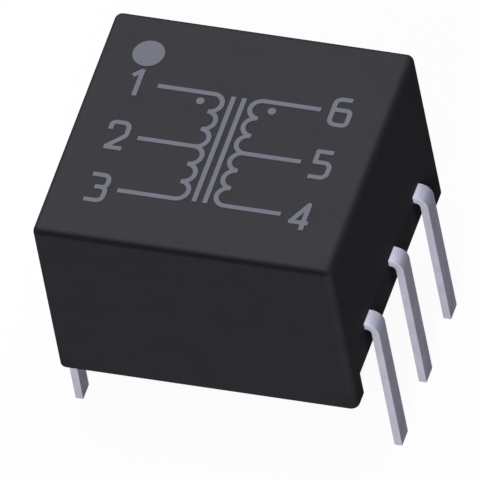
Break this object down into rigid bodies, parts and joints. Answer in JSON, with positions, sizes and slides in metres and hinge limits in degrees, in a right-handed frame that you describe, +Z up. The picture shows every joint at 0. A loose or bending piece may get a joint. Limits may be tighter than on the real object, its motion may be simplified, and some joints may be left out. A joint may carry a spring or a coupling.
{
  "type": "encapsulated transformer",
  "caption": "Small box-shaped black encapsulated transformer with two rows of flat bent through-hole pins, a channel under the case and a printed winding diagram.",
  "frame": {"origin": "centre of the pin grid on the seating plane, where the two feet of the case meet the board", "axes": "+Z up, away from the board; +X across the two pin rows, towards pins 4 to 6; +Y along the rows, towards pins 1 and 6"},
  "size_m": [0.0104, 0.009, 0.0099],
  "materials": {
    "case_plastic": "satin moulded black thermoset",
    "potting_resin": "cast black resin",
    "tinned_metal": "smooth satin tin plating",
    "ferrite": "sintered dark grey",
    "core_lacquer": "green dipped coat",
    "enamelled_wire": "clear enamel on copper",
    "solder": "bright solder",
    "grey_ink": "flat grey printing ink"
  },
  "bodies": {
    "root": {"case": "case_plastic", "potting_compound": "potting_resin", "ferrite_core": "ferrite", "core_coating": "core_lacquer", "pin_1": "tinned_metal", "pin_2": "tinned_metal", "pin_3": "tinned_metal", "pin_4": "tinned_metal", "pin_5": "tinned_metal", "pin_6": "tinned_metal", "primary_coil_a": "enamelled_wire", "primary_coil_b": "enamelled_wire", "secondary_coil_a": "enamelled_wire", "secondary_coil_b": "enamelled_wire", "solder_joint_1": "solder", "solder_joint_2": "solder", "solder_joint_3": "solder", "solder_joint_4": "solder", "solder_joint_5": "solder", "solder_joint_6": "solder", "pin_one_dot": "grey_ink", "winding_diagram": "grey_ink", "pin_numbers": "grey_ink"}
  },
  "joints": []
}
